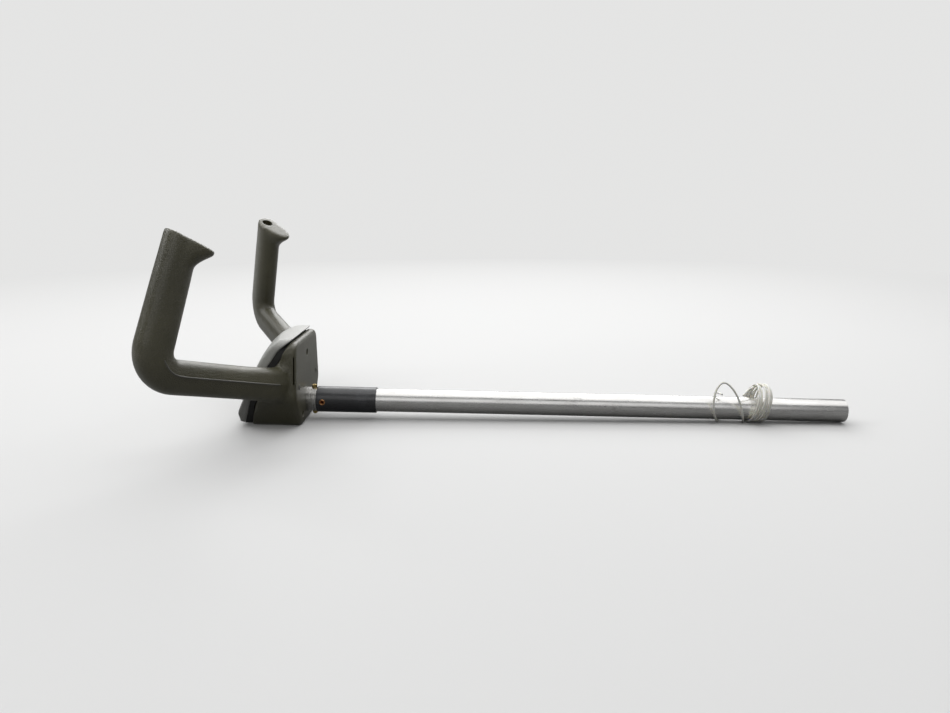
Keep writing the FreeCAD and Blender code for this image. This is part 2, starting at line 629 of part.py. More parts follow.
# Every object must be sound before anything is written
doc.recompute()
for item in doc.Objects:
    if "Invalid" in item.State or "Error" in item.State:
        raise RuntimeError(f"{item.Label} failed: {item.State}")
for item in pieces:
    if item.Shape.isNull() or not item.Shape.isValid() or not item.Shape.Solids:
        raise RuntimeError(f"{item.Label} has no sound solid")
for item in pieces:
    item.Shape.exportStep(f"parts/{item.Label}.step")
    box = item.Shape.BoundBox
    print(f"{item.Label:22s} {len(item.Shape.Solids)} {item.Shape.Volume / 1000:8.2f} cm3 "
          f"x {box.XMin:.1f} {box.XMax:.1f} y {box.YMin:.1f} {box.YMax:.1f} z {box.ZMin:.1f} {box.ZMax:.1f}")
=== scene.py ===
import math

import bmesh
import bpy
from mathutils import Matrix, Vector


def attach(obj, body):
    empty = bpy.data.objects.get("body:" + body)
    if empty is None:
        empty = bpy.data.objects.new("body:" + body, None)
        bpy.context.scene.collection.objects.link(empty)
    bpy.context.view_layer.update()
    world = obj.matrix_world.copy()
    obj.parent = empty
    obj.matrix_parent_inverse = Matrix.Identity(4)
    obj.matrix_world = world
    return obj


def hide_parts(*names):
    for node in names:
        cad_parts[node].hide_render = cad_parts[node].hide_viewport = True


# Aircraft control wheel on its control tube. The row frame is in metres; the wheel's own sizes are
# written in millimetres from the hub's rear face, as its maker would draw them.
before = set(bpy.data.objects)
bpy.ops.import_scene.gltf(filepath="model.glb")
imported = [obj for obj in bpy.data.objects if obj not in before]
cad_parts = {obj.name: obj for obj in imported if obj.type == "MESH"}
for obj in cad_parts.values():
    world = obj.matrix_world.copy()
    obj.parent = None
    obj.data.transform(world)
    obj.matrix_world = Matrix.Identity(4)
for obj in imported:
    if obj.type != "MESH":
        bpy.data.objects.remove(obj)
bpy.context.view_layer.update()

MM = 0.001
HUB_REAR = Vector((-0.6, 0.0, 0.0))
TO_PILOT = Vector((-1, 0, 0))
FROM_PILOT = Vector((1, 0, 0))


def at(x, y, z):
    """A point given in millimetres from the hub's rear face, in the row frame."""
    return HUB_REAR + Vector((x, y, z)) * MM


# Objects, meshes and curves
def in_scene(name, data):
    """A new object at the origin."""
    item = bpy.data.objects.new(name, data)
    bpy.context.scene.collection.objects.link(item)
    return item


def plain_mesh(item):
    """The mesh that an object's curve or modifiers give."""
    bpy.context.view_layer.update()
    return bpy.data.meshes.new_from_object(item.evaluated_get(bpy.context.evaluated_depsgraph_get()))


def as_object(name, b):
    """A new object from a finished bmesh."""
    mesh = bpy.data.meshes.new(name)
    b.to_mesh(mesh)
    b.free()
    return in_scene(name, mesh)


def taken(item):
    """An object's mesh, once the object itself is removed."""
    mesh = item.data
    bpy.data.objects.remove(item)
    return mesh


def merged(name, items):
    """One object from the meshes of several, which are removed."""
    b = bmesh.new()
    for item in items:
        b.from_mesh(item.data)
    for item in items:
        bpy.data.meshes.remove(taken(item))
    return as_object(name, b)


def settle(item):
    """Turns an object's modifiers into its plain mesh."""
    mesh = plain_mesh(item)
    item.modifiers.clear()
    item.data = mesh


def carve(item, tool, operation="DIFFERENCE"):
    """Cuts a tool out of an object, or keeps only what the two share."""
    modifier = item.modifiers.new("carve", "BOOLEAN")
    modifier.operation = operation
    modifier.solver = "EXACT"
    modifier.object = tool
    settle(item)
    bpy.data.meshes.remove(taken(tool))


def regrow(item, voxel):
    """Makes overlapping shells one even skin."""
    modifier = item.modifiers.new("grow", "REMESH")
    modifier.mode = "VOXEL"
    modifier.voxel_size = voxel
    settle(item)


def soften(item, factor, rounds, group=""):
    """Adds a smoothing, everywhere or where a vertex group says so."""
    modifier = item.modifiers.new("soften", "SMOOTH")
    modifier.factor = factor
    modifier.iterations = rounds
    modifier.vertex_group = group


def shaded(mesh, sharp_from=None):
    """Smooth shading, with creases kept from an angle in degrees."""
    mesh.polygons.foreach_set("use_smooth", [True] * len(mesh.polygons))
    if sharp_from is not None:
        mesh.set_sharp_from_angle(angle=math.radians(sharp_from))
    return mesh


def skinned(rows, closed=False):
    """A skin over rows of points: capped at both ends, or its last row joined to its first."""
    b = bmesh.new()
    rows = [[b.verts.new(point) for point in row] for row in rows]
    for low, high in zip(rows, rows[1:] + rows[:1] if closed else rows[1:]):
        for k in range(len(low)):
            n = (k + 1) % len(low)
            b.faces.new((low[k], low[n], high[n], high[k]))
    if not closed:
        b.faces.new(rows[0])
        b.faces.new(rows[-1])
    bmesh.ops.recalc_face_normals(b, faces=b.faces)
    return b


def prism(name, outline, place, low, high):
    """A straight solid over an outline, each corner set by place(across, up, depth)."""
    return as_object(name, skinned([[place(p, q, depth) for p, q in outline] for depth in (low, high)]))


def turned_shape(name, start, way, profile, segments=48, closed=False):
    """A solid of revolution about a line in the row frame, from pairs of distance along it and radius."""
    way = way.normalized()
    side = way.orthogonal().normalized()
    other = way.cross(side)
    angles = [math.tau * k / segments for k in range(segments)]
    spokes = [side * math.cos(angle) + other * math.sin(angle) for angle in angles]
    rows = [[start + way * along * MM + spoke * radius * MM for spoke in spokes] for along, radius in profile]
    return as_object(name, skinned(rows, closed))


def nurbs_curve(name, points, resolution):
    """A curve drawn towards its points in turn, from the first to the last."""
    curve = bpy.data.curves.new(name, "CURVE")
    curve.dimensions = "3D"
    curve.resolution_u = resolution
    spline = curve.splines.new("NURBS")
    spline.points.add(len(points) - 1)
    for target, point in zip(spline.points, points):
        target.co = (*point, 1.0)
    spline.order_u = 3
    spline.use_endpoint_u = True
    return curve


# Camera, as the photograph was taken
def make_camera():
    right = Vector((0.9997336, 0.00198662, 0.02299506))
    down = Vector((0.02287613, -0.21764476, -0.97575993))
    forward = Vector((0.00306629, 0.97602603, -0.21763222))
    place = (-0.417, -0.7718, 0.2247)
    lens = bpy.data.cameras.new("camera")
    lens.sensor_fit = "HORIZONTAL"
    lens.sensor_width = 36.0
    lens.lens = 27.1
    lens.clip_end = 60.0
    camera = in_scene("camera", lens)
    turn = Matrix((right, -down, -forward)).transposed()
    camera.matrix_world = Matrix.Translation(place) @ turn.to_4x4()
    bpy.context.scene.camera = camera


# Materials
class Finish:
    """A node material built up step by step on one Principled shader."""

    def __init__(self, name, colour, roughness, metallic=0.0, specular=0.5):
        self.material = bpy.data.materials.new(name)
        self.material.use_nodes = True
        self.tree = self.material.node_tree
        self.shader = self.tree.nodes["Principled BSDF"]
        self.shader.inputs["Base Color"].default_value = (*colour, 1)
        self.shader.inputs["Roughness"].default_value = roughness
        self.shader.inputs["Metallic"].default_value = metallic
        self.shader.inputs["Specular IOR Level"].default_value = specular
        self.place = self.add("ShaderNodeTexCoord").outputs["Object"]

    def add(self, kind, **settings):
        node = self.tree.nodes.new(kind)
        for name, value in settings.items():
            setattr(node, name, value)
        return node

    def join(self, source, target):
        self.tree.links.new(source, target)

    def stretched(self, scale):
        """Places scaled along X, Y and Z."""
        node = self.add("ShaderNodeMapping")
        node.inputs["Scale"].default_value = scale
        self.join(self.place, node.inputs["Vector"])
        return node.outputs["Vector"]

    def mottle(self, scale, detail=4.0, rough=0.6, place=None, distortion=0.0):
        """Cloudy noise."""
        node = self.add("ShaderNodeTexNoise")
        node.inputs["Scale"].default_value = scale
        node.inputs["Detail"].default_value = detail
        node.inputs["Roughness"].default_value = rough
        node.inputs["Distortion"].default_value = distortion
        self.join(place or self.place, node.inputs["Vector"])
        return node.outputs["Fac"]

    def wavering(self, scale, amount):
        """Places pushed a little to and fro."""
        noise = self.add("ShaderNodeTexNoise")
        noise.inputs["Scale"].default_value = scale
        noise.inputs["Detail"].default_value = 2.0
        self.join(self.place, noise.inputs["Vector"])
        node = self.add("ShaderNodeVectorMath", operation="MULTIPLY_ADD")
        self.join(noise.outputs["Color"], node.inputs[0])
        node.inputs[1].default_value = (amount, amount, amount)
        self.join(self.place, node.inputs[2])
        return node.outputs[0]

    def cells(self, size, place):
        """Distance to the edges of small irregular cells."""
        node = self.add("ShaderNodeTexVoronoi", feature="DISTANCE_TO_EDGE")
        node.inputs["Scale"].default_value = 1.0 / size
        self.join(place, node.inputs["Vector"])
        return node.outputs["Distance"]

    def ranged(self, value, low, high, first=0.0, last=1.0):
        """A value's range low to high, made first to last."""
        node = self.add("ShaderNodeMapRange", clamp=True)
        node.inputs["From Min"].default_value = low
        node.inputs["From Max"].default_value = high
        node.inputs["To Min"].default_value = first
        node.inputs["To Max"].default_value = last
        self.join(value, node.inputs["Value"])
        return node.outputs["Result"]

    def worked(self, operation, first, second):
        """Two values put through a sum."""
        node = self.add("ShaderNodeMath", operation=operation)
        for socket, value in zip(node.inputs, (first, second)):
            if isinstance(value, float):
                socket.default_value = value
            else:
                self.join(value, socket)
        return node.outputs[0]

    def blend(self, amount, first, last):
        """One colour passing into another."""
        node = self.add("ShaderNodeMix", data_type="RGBA")
        self.join(amount, node.inputs["Factor"])
        for socket, value in ((node.inputs[6], first), (node.inputs[7], last)):
            if isinstance(value, tuple):
                socket.default_value = (*value, 1)
            else:
                self.join(value, socket)
        return node.outputs[2]

    def colour(self, value):
        self.join(value, self.shader.inputs["Base Color"])

    def rough(self, value):
        self.join(value, self.shader.inputs["Roughness"])

    def relief(self, height, depth, below=None):
        """Fine relief, alone or on top of another."""
        node = self.add("ShaderNodeBump")
        node.inputs["Distance"].default_value = depth
        node.inputs["Strength"].default_value = 1.0
        self.join(height, node.inputs["Height"])
        if below is not None:
            self.join(below, node.inputs["Normal"])
        self.join(node.outputs["Normal"], self.shader.inputs["Normal"])
        return node.outputs["Normal"]


def leather_grain(name, base, worn, roughness, cell, depth):
    """Moulded plastic with a fine leather grain, rubbed smoother and paler in places."""
    f = Finish(name, base, roughness, specular=0.6)
    f.shader.inputs["Coat Weight"].default_value = 1.0
    f.shader.inputs["Coat Roughness"].default_value = 0.40
    creases = f.ranged(f.cells(cell, f.wavering(260.0, 0.0012)), 0.0, 0.22)
    dust = f.mottle(60.0, 5.0, 0.65)
    broad = f.mottle(14.0, 3.0, 0.5)
    in_creases = tuple(c * 0.62 for c in base)
    dusty = tuple(c * 1.5 for c in worn)
    tone = f.blend(f.ranged(broad, 0.42, 0.66), base, worn)
    tone = f.blend(f.ranged(creases, 0.0, 0.5, 0.55, 0.0), tone, in_creases)
    tone = f.blend(f.ranged(dust, 0.60, 0.80, 0.0, 0.45), tone, dusty)
    f.colour(tone)
    rubbed = f.ranged(broad, 0.35, 0.7, roughness + 0.05, roughness - 0.08)
    f.rough(f.worked("ADD", rubbed, f.ranged(creases, 0.0, 0.6, 0.12, 0.0)))
    swell = f.relief(f.mottle(90.0, 2.0, 0.5), 0.0006)
    f.relief(creases, depth, below=swell)
    return f.material


# Near-black base under the pad's edge: painted shade for the dark gap between the pad and the hub, with a
# faint mottle and fine relief.
def painted_gap_shade():
    f = Finish("pad_base_painted_shade", (0.012, 0.012, 0.012), 0.55)
    f.colour(f.blend(f.ranged(f.mottle(45.0), 0.45, 0.75), (0.010, 0.010, 0.010), (0.030, 0.030, 0.028)))
    f.relief(f.mottle(900.0, 3.0, 0.6), 0.00015)
    return f.material


def shrunk_sleeve():
    """Black sleeve with faint lines along it and a grey haze."""
    f = Finish("black_sleeve", (0.014, 0.015, 0.017), 0.38, specular=0.9)
    lines = f.mottle(1.0, 4.0, 0.6, place=f.stretched((40.0, 700.0, 700.0)))
    haze = f.mottle(38.0, 5.0, 0.65)
    f.colour(f.blend(f.ranged(haze, 0.48, 0.78), (0.020, 0.021, 0.024), (0.062, 0.065, 0.073)))
    f.rough(f.ranged(lines, 0.3, 0.7, 0.24, 0.38))
    f.relief(f.worked("ADD", lines, f.mottle(150.0, 2.0, 0.5)), 0.00012)
    return f.material


def satin_tube():
    """Drawn aluminium: fine lines along the tube, grey smudges and a few darker scuffs."""
    f = Finish("satin_tube", (0.80, 0.79, 0.77), 0.3, metallic=1.0)
    lines = f.mottle(1.0, 5.0, 0.7, place=f.stretched((9.0, 1500.0, 1500.0)))
    streaks = f.mottle(1.0, 4.0, 0.6, place=f.stretched((22.0, 260.0, 260.0)))
    smudge = f.mottle(1.0, 5.0, 0.7, place=f.stretched((34.0, 90.0, 90.0)), distortion=0.4)
    scuffs = f.mottle(1.0, 3.0, 0.6, place=f.stretched((160.0, 420.0, 420.0)))
    tone = f.blend(f.ranged(streaks, 0.35, 0.7), (0.72, 0.71, 0.69), (0.86, 0.855, 0.84))
    tone = f.blend(f.ranged(smudge, 0.60, 0.74, 0.0, 0.55), tone, (0.28, 0.27, 0.255))
    tone = f.blend(f.ranged(scuffs, 0.69, 0.78, 0.0, 0.7), tone, (0.16, 0.15, 0.14))
    f.colour(tone)
    f.rough(f.worked("ADD", f.ranged(lines, 0.3, 0.7, 0.22, 0.34), f.ranged(smudge, 0.55, 0.75, 0.0, 0.16)))
    f.relief(lines, 0.00004)
    return f.material


def turned_metal(name, dark, light, roughness):
    """Metal turned on a lathe about the tube's axis, with rings of tool marks."""
    f = Finish(name, light, roughness, metallic=1.0)
    rings = f.mottle(1.0, 3.0, 0.6, place=f.stretched((2600.0, 30.0, 30.0)))
    stain = f.mottle(130.0, 4.0, 0.6)
    f.colour(f.blend(f.ranged(stain, 0.42, 0.68), light, dark))
    f.rough(f.ranged(rings, 0.3, 0.7, roughness - 0.08, roughness + 0.12))
    f.relief(rings, 0.00003)
    return f.material


def plated(name, bright, dull, roughness):
    """Plated metal, dulled in small patches."""
    f = Finish(name, bright, roughness, metallic=1.0)
    f.colour(f.blend(f.ranged(f.mottle(600.0, 4.0, 0.6), 0.4, 0.65), bright, dull))
    f.rough(f.ranged(f.mottle(900.0, 2.0), 0.3, 0.7, roughness - 0.06, roughness + 0.14))
    f.relief(f.mottle(1500.0, 2.0), 0.00003)
    return f.material


def lead_sheath():
    f = Finish("lead_sheath", (0.80, 0.78, 0.68), 0.42)
    f.shader.inputs["Subsurface Weight"].default_value = 0.15
    f.shader.inputs["Subsurface Radius"].default_value = (0.0012, 0.0010, 0.0006)
    grime = f.mottle(220.0, 4.0, 0.6)
    f.colour(f.blend(f.ranged(grime, 0.5, 0.75), (0.94, 0.93, 0.86), (0.78, 0.74, 0.62)))
    f.relief(f.mottle(1600.0, 2.0), 0.00004)
    return f.material


OLIVE = leather_grain("olive_moulding", (0.056, 0.051, 0.015), (0.092, 0.084, 0.034), 0.38, 0.0016, 0.00030)
# The bead's paler tone is a painted highlight: the bright line along the rounded edge of the parting line.
BEAD_PAINTED_HIGHLIGHT = leather_grain("bead_painted_highlight", (0.105, 0.102, 0.080), (0.150, 0.146, 0.120), 0.34, 0.0013, 0.00012)
PALE = leather_grain("pale_pad_cover", (0.500, 0.502, 0.468), (0.570, 0.572, 0.535), 0.50, 0.0009, 0.00016)
PAD_GAP_PAINTED_SHADE = painted_gap_shade()
SLEEVE = shrunk_sleeve()
TUBE = satin_tube()
COLLAR = turned_metal("turned_collar", (0.34, 0.335, 0.32), (0.66, 0.65, 0.63), 0.26)
DARK_STEEL = turned_metal("oiled_steel", (0.10, 0.095, 0.09), (0.30, 0.295, 0.29), 0.40)
YELLOW = plated("yellow_plating", (0.72, 0.53, 0.20), (0.42, 0.30, 0.11), 0.30)
COPPER = plated("copper_plating", (0.74, 0.38, 0.17), (0.40, 0.20, 0.09), 0.28)
LEAD = lead_sheath()


def dress(material, *nodes):
    """Gives carried-over nodes their finish."""
    for node in nodes:
        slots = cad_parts[node].data.materials
        if slots:
            for i in range(len(slots)):
                slots[i] = material
        else:
            slots.append(material)


def add_piece(name, mesh, material, replaced=()):
    """A finished mesh as a piece of the object, at the origin."""
    piece = in_scene(name, mesh)
    mesh.materials.clear()
    mesh.materials.append(material)
    if replaced:
        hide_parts(*replaced)
    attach(piece, "root")


# Thin lead: a tail, loose turns round the tube, one wide turn and a bare end
LEAD_THICKNESS = 0.0022
TURN_POINTS = 14
TURN_LEAN = 3.4
TURN_SWAY = 0.9
TAIL = [(481.0, -14.0, 18.5), (485.0, -10.8, 21.6), (489.2, -6.0, 23.8)]
TURNS = [
    # X where the turn starts, its radius, and the centre's places aside and above
    (494.2, 19.4, 0.2, 5.2), (496.8, 21.0, -0.5, 6.9), (499.4, 20.0, 0.6, 5.8), (502.2, 21.4, -0.2, 7.3),
    (505.2, 20.2, 0.8, 6.1), (508.4, 21.1, 0.0, 7.0),
]
TURNS_END = (510.6, 20.4, 0.3, 6.2)
BACK_UNDER = [(510.0, 0.0, 26.3), (507.5, 10.0, 24.0), (503.5, 20.3, 10.0), (497.5, 19.0, -7.0)]
WIDE_TURN = [
    (491.2, 6.0, -14.1), (486.5, -8.0, -14.1), (482.0, -17.5, -6.0), (478.5, -17.5, 8.0),
    (471.5, -14.5, 23.5), (460.5, -9.5, 34.0), (451.5, -12.5, 26.5), (447.5, -17.0, 12.5),
    (450.0, -17.0, -4.0), (457.0, -8.0, -14.1), (463.0, 7.0, -14.1), (463.0, 16.5, -4.0),
    (460.0, 16.0, 9.0), (456.0, 5.0, 18.0), (460.0, -7.5, 17.6),
]


def lead_route():
    """The lead's own points, the coil's turns worked out from their places and sizes."""
    points = list(TAIL)
    for i, (first, last) in enumerate(zip(TURNS, TURNS[1:] + [TURNS_END])):
        for k in range(TURN_POINTS):
            part = k / TURN_POINTS
            angle = math.tau * part
            x, radius, aside, above = (a + (b - a) * part for a, b in zip(first, last))
            sway = TURN_LEAN * math.cos(angle) + TURN_SWAY * math.sin(angle + 1.1 * i)
            points.append((x + sway, aside + radius * math.sin(angle), above + radius * math.cos(angle)))
    return [at(*p) for p in points + BACK_UNDER + WIDE_TURN]


def make_lead():
    points = lead_route()
    curve = nurbs_curve("wound_lead", points, 6)
    thin = in_scene("lead_line", curve.copy())
    line = plain_mesh(thin)
    bpy.data.objects.remove(thin)
    bpy.data.meshes.remove(line)
    curve.bevel_depth = LEAD_THICKNESS / 2
    curve.bevel_resolution = 4
    curve.use_fill_caps = True
    curve.materials.append(LEAD)
    lead = in_scene("wound_lead", curve)
    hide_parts("lead_coil", "lead_loop", "lead_tail")
    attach(lead, "root")


make_camera()
make_lead()

# Floor, light and background
FLOOR_LEVEL = -0.0136
FLOOR_SLOPE = 0.01275
FLOOR_RADIUS = 12.0
FLOOR_FADES = (0.55, 2.2)
FLOOR_BOUNCE = (0.09, 0.09, 0.09)
FLOOR_IN_GLOSS = 0.15
BACKDROP = (0.78, 0.78, 0.775)
SKY = (0.97, 0.98, 1.0)
SKY_STRENGTH = 0.11
LAMPS = [
    # Name, place, the point it faces, width, depth, watts
    ("overhead", (-0.35, 0.7, 1.7), (-0.35, 0.7, 0.0), 3.2, 3.0, 38.0),
    ("rear_window", (-0.5, 3.0, 1.9), (-0.4, 0.0, 0.1), 3.6, 1.8, 62.0),
    ("left_window", (-2.4, 0.2, 1.5), (-0.6, 0.0, 0.1), 1.8, 1.2, 15.0),
    ("front_fill", (-0.3, -2.2, 1.3), (-0.3, 0.0, 0.05), 2.6, 1.5, 9.0),
]


def pale_floor():
    """Floor that takes shadows near the object and passes into the backdrop's colour further off."""
    f = Finish("pale_floor", BACKDROP, 0.95, specular=0.0)
    glow = f.add("ShaderNodeEmission")
    glow.inputs["Color"].default_value = (*BACKDROP, 1)
    distance = f.add("ShaderNodeVectorMath", operation="LENGTH")
    f.join(f.place, distance.inputs[0])
    rays = f.add("ShaderNodeLightPath")
    direct, glossy = rays.outputs["Is Camera Ray"], rays.outputs["Is Glossy Ray"]
    seen = f.worked("MAXIMUM", direct, glossy)
    mixer = f.add("ShaderNodeMixShader")
    f.join(f.worked("MULTIPLY", f.ranged(distance.outputs["Value"], *FLOOR_FADES), seen), mixer.inputs[0])
    f.join(f.shader.outputs[0], mixer.inputs[1])
    f.join(glow.outputs[0], mixer.inputs[2])
    lit = f.worked("MAXIMUM", direct, f.worked("MULTIPLY", glossy, FLOOR_IN_GLOSS))
    f.colour(f.blend(lit, FLOOR_BOUNCE, BACKDROP))
    f.join(mixer.outputs[0], f.tree.nodes["Material Output"].inputs["Surface"])
    return f.material


def make_floor():
    b = bmesh.new()
    bmesh.ops.create_circle(b, cap_ends=True, segments=96, radius=FLOOR_RADIUS)
    slope = Matrix(((1, 0, 0, 0), (0, 1, 0, 0), (FLOOR_SLOPE, 0, 1, FLOOR_LEVEL), (0, 0, 0, 1)))
    bmesh.ops.transform(b, matrix=slope, verts=b.verts)
    floor = as_object("floor", b)
    floor.data.materials.append(pale_floor())


def make_world():
    """The backdrop's colour to the camera, soft light to everything else."""
    world = bpy.data.worlds.new("studio")
    world.use_nodes = True
    tree = world.node_tree
    shown = tree.nodes["Background"]
    lit = tree.nodes.new("ShaderNodeBackground")
    for node, colour, strength in ((shown, BACKDROP, 1.0), (lit, SKY, SKY_STRENGTH)):
        node.inputs["Color"].default_value = (*colour, 1)
        node.inputs["Strength"].default_value = strength
    rays = tree.nodes.new("ShaderNodeLightPath")
    mixer = tree.nodes.new("ShaderNodeMixShader")
    tree.links.new(rays.outputs["Is Camera Ray"], mixer.inputs[0])
    tree.links.new(lit.outputs[0], mixer.inputs[1])
    tree.links.new(shown.outputs[0], mixer.inputs[2])
    tree.links.new(mixer.outputs[0], tree.nodes["World Output"].inputs["Surface"])
    bpy.context.scene.world = world
    bpy.context.scene.view_settings.view_transform = "Standard"


def add_lamp(name, place, target, width, depth, power):
    light = bpy.data.lights.new(name, "AREA")
    light.shape = "RECTANGLE"
    light.size = width
    light.size_y = depth
    light.energy = power
    lamp = in_scene(name, light)
    facing = (Vector(target) - Vector(place)).to_track_quat("-Z", "Y")
    lamp.matrix_world = Matrix.Translation(place) @ facing.to_matrix().to_4x4()
    lamp.visible_camera = False


make_floor()
make_world()
for lamp in LAMPS:
    add_lamp(*lamp)

# Wheel: hub, arms, grips and heads grown together as one moulding
SWEEP = math.radians(35.6)
RISE = math.radians(15.2)
LEAN = math.radians(110.4)
ARM_FOOT = (23.0, 10.5)
ARM_REACH = 210.6
ELBOW_RADIUS = 24.0
ELBOW_RINGS = 12
GRIP_LENGTH = 92.0
GRIP_TOP = 50.0
HEAD_TURN = math.radians(30.0)
HEAD_SLANT = math.radians(11.0)
HEAD_HEIGHT = 33.5
RING_POINTS = 56
RING_GAP = 5.0
RIDGE_AT = math.radians(82.0)
RIDGE = 0.075
ARM_TALL, ARM_THICK = 32.4, 25.4
GRIP_TALL, GRIP_THICK = 35.0, 26.0
ARM_SIZES = [
    # Reach from the tube's axis, height, thickness, shift towards the pilot
    (46.0, 50.0, 32.0, 15.0), (60.0, 42.5, 29.5, 7.5), (72.0, 37.5, 27.8, 3.0), (88.0, 34.6, 26.6, 0.8),
    (112.0, 32.8, 25.6, 0.0), (160.0, ARM_TALL, ARM_THICK, 0.0),
]


def in_plane(angle):
    """A direction in the plane of a horn."""
    return Vector((math.cos(angle), 0.0, math.sin(angle)))


ARM_WAY, GRIP_WAY = in_plane(RISE), in_plane(LEAN)
ELBOW_POINT = Vector((ARM_REACH, 0.0, ARM_REACH * math.tan(RISE)))
ELBOW_SPAN = ELBOW_RADIUS * math.tan((LEAN - RISE) / 2)
ELBOW_CENTRE = ELBOW_POINT - ARM_WAY * ELBOW_SPAN + in_plane(RISE + math.pi / 2) * ELBOW_RADIUS
TIP_WAY = in_plane(LEAN + math.pi / 2) * math.cos(HEAD_TURN) + Vector((0.0, math.sin(HEAD_TURN), 0.0))


def head_point(height, reach):
    """A point above the grip's end, and towards the beak's tip."""
    return ELBOW_POINT + GRIP_WAY * (GRIP_LENGTH + height) + TIP_WAY * reach


def from_horn(point, side):
    """A point in the plane of one horn, in the row frame. Side is 1 for the left horn, -1 for the right."""
    u, v, w = point
    x = ARM_FOOT[0] - u * math.sin(SWEEP) + v * math.cos(SWEEP)
    y = u * math.cos(SWEEP) + v * math.sin(SWEEP)
    return at(x, side * y, ARM_FOOT[1] + w)


def arm_section(reach):
    """The arm's centre, height and thickness, taken between the rows of its table."""
    tall, thick, aside = ARM_SIZES[-1][1:]
    for first, last in zip(ARM_SIZES, ARM_SIZES[1:]):
        if reach <= last[0]:
            part = max(0.0, (reach - first[0]) / (last[0] - first[0]))
            tall, thick, aside = (a + (b - a) * part for a, b in zip(first[1:], last[1:]))
            break
    return ARM_WAY * (reach / math.cos(RISE)) - Vector((0, aside, 0)), tall, thick


def elbow_section(part):
    """The elbow's direction and centre, from its start (0) to its end (1)."""
    angle = RISE + (LEAN - RISE) * part
    return angle, ELBOW_CENTRE + in_plane(angle - math.pi / 2) * ELBOW_RADIUS


def ring(centre, angle, tall, thick, ridge, turn=0.0, fullness=2.35):
    """One section, square to a way in the horn's plane: a full oval with a soft ridge on its front."""
    across = in_plane(angle + math.pi / 2)
    front = Vector((0.0, 1.0, 0.0))
    long_way = across * math.cos(turn) + front * math.sin(turn)
    short_way = front * math.cos(turn) - across * math.sin(turn)
    points = []
    for k in range(RING_POINTS):
        theta = math.tau * k / RING_POINTS
        c, s = math.cos(theta), math.sin(theta)
        r = (abs(c) ** fullness + abs(s) ** fullness) ** (-1.0 / fullness)
        away = theta - RIDGE_AT
        crest = math.exp(-(away / 0.17) ** 2)
        hollow = math.exp(-((away - 0.62) / 0.34) ** 2)
        r *= 1.0 + ridge * crest - 0.55 * ridge * hollow
        points.append(centre + long_way * (c * r * tall / 2) + short_way * (s * r * thick / 2))
    return points


def horn_rings():
    """Sections along the arm, round the elbow and up the grip."""
    rings = []
    elbow_start = ELBOW_POINT - ARM_WAY * ELBOW_SPAN
    reach = ARM_SIZES[0][0]
    while reach < elbow_start.x - 2.0:
        centre, tall, thick = arm_section(reach)
        rings.append(ring(centre, RISE, tall, thick, RIDGE * min(1.0, max(0.0, (reach - 60.0) / 30.0))))
        reach += RING_GAP
    for i in range(ELBOW_RINGS + 1):
        part = i / ELBOW_RINGS
        angle, centre = elbow_section(part)
        rings.append(ring(centre, angle, ARM_TALL + 2.6 * part, ARM_THICK + 0.6 * part, RIDGE - 0.045 * part))
    height = -GRIP_LENGTH + ELBOW_SPAN + RING_GAP
    while height < GRIP_TOP:
        part = (height + GRIP_LENGTH - ELBOW_SPAN) / (GRIP_LENGTH - ELBOW_SPAN + 48.0)
        rings.append(ring(head_point(height, -0.9 * part), LEAN, GRIP_TALL - 4.2 * part, GRIP_THICK, 0.03))
        height += RING_GAP
    return rings


def beak_rings():
    """Sections of the wedge that swells out of the grip towards its tip."""
    parts = [i / 11 for i in range(12)]
    swells = [(7.0 + 17.0 * part, part ** 1.5) for part in parts] + [(52.0, 1.0)]
    return [ring(head_point(height, 7.6 * swell), LEAN, 29.0 + 14.4 * swell, 22.5 + 2.8 * swell, 0.0,
                 turn=HEAD_TURN, fullness=2.1) for height, swell in swells]


def trimmed(name, rings, side):
    """A horn or beak on its side, its top cut to the head's slant."""
    b = skinned([[from_horn(p, side) for p in points] for points in rings])
    up = GRIP_WAY * math.cos(HEAD_SLANT) + TIP_WAY * math.sin(HEAD_SLANT)
    here = from_horn(head_point(HEAD_HEIGHT, 0.0), side)
    normal = (from_horn(head_point(HEAD_HEIGHT, 0.0) + up, side) - here).normalized()
    cut = bmesh.ops.bisect_plane(b, geom=b.verts[:] + b.edges[:] + b.faces[:], plane_co=here, plane_no=normal,
                                 clear_outer=True)
    edges = [e for e in cut["geom_cut"] if isinstance(e, bmesh.types.BMEdge)]
    bmesh.ops.holes_fill(b, edges=edges)
    bmesh.ops.recalc_face_normals(b, faces=b.faces)
    return as_object(name, b)


HUB_CORNERS = [(50.0, 72.0), (58.0, 14.0), (34.0, -22.0), (-34.0, -22.0), (-58.0, 14.0), (-50.0, 72.0)]
HUB_CORNER_RADIUS = 12.0
HUB_FRONT = [(-7.0, 74.0), (-45.0, 6.0), (-54.4, -24.0)]
HUB_SIDE = HUB_FRONT + [(0.0, -24.0), (0.0, 74.0)]
PAD_SIDE = HUB_FRONT + [(-150.0, -24.0), (-150.0, 74.0)]
REAR_ROUNDING = 0.0042
MOULDING_VOXEL = 0.00135
BOSS_RADIUS = 13.5
RECESS_MOUTH, RECESS_RADIUS = 5.0, 3.8
SLIT = [(-2.7, 30.0), (-1.3, 30.0), (-1.6, 58.0), (-2.2, 59.0), (-2.8, 58.0)]
BORE_RADIUS, BORE_DEPTH, BORE_REACH = 6.0, 26.0, -4.0
PAD_SCREWS = [
    # Y, Z, the recess's depth below the rear face, the screw's length
    (0.0, 53.5, 8.0, 13.1), (-27.0, -9.6, 26.0, 26.8), (27.0, -9.6, 26.0, 26.8),
]


